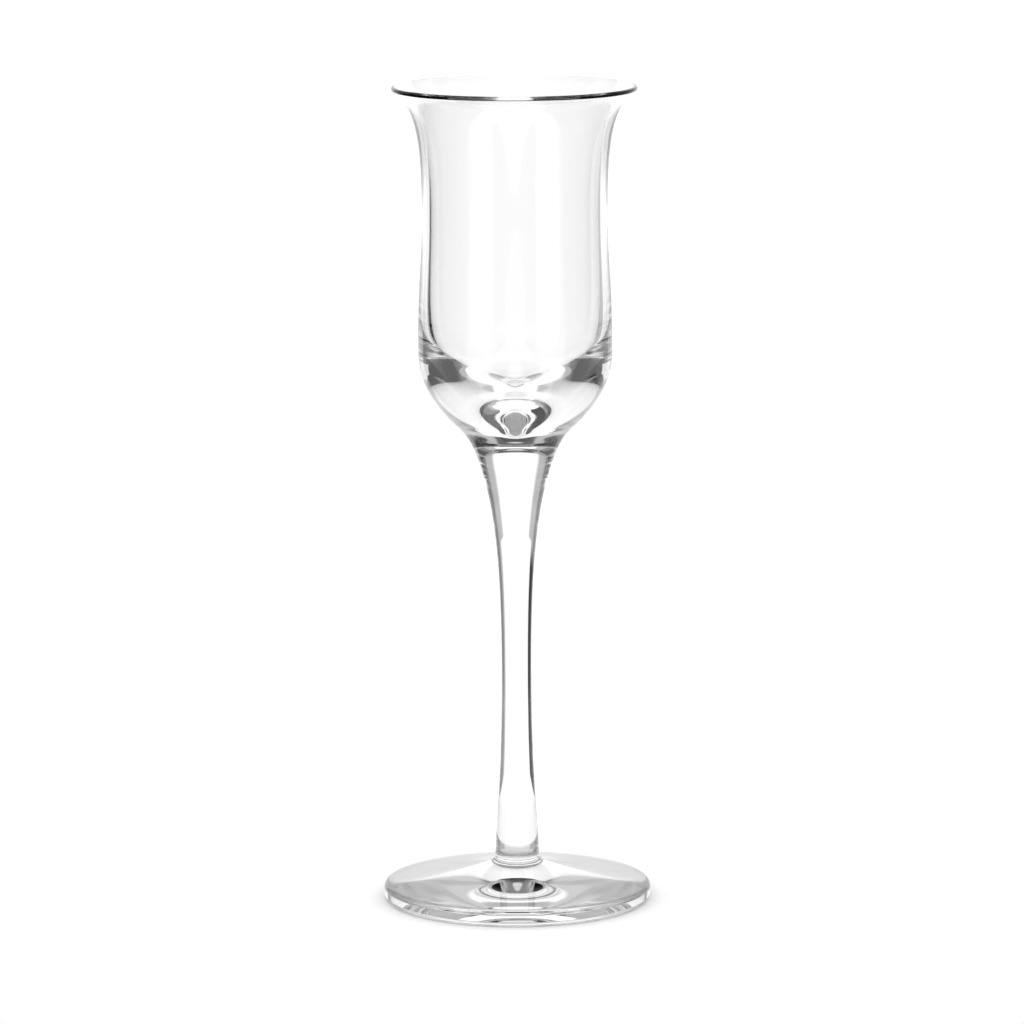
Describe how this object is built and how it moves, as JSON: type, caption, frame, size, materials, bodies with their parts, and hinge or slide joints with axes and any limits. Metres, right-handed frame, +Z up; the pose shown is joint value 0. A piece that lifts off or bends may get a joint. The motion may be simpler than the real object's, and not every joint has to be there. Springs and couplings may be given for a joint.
{
  "type": "liqueur glass",
  "caption": "Small stemmed drinking glass in clear glass: a bowl with a flared lip on a slender solid stem and a round foot.",
  "frame": {"origin": "middle of the ring under the foot, on the surface that the glass stands on", "axes": "+Z up along the axis that the glass is turned about, from the foot to the lip"},
  "size_m": [0.059, 0.059, 0.18],
  "materials": {
    "clear_glass": "clear, fire polished, glossy"
  },
  "bodies": {
    "root": {"liqueur_glass": "clear_glass"}
  },
  "joints": []
}
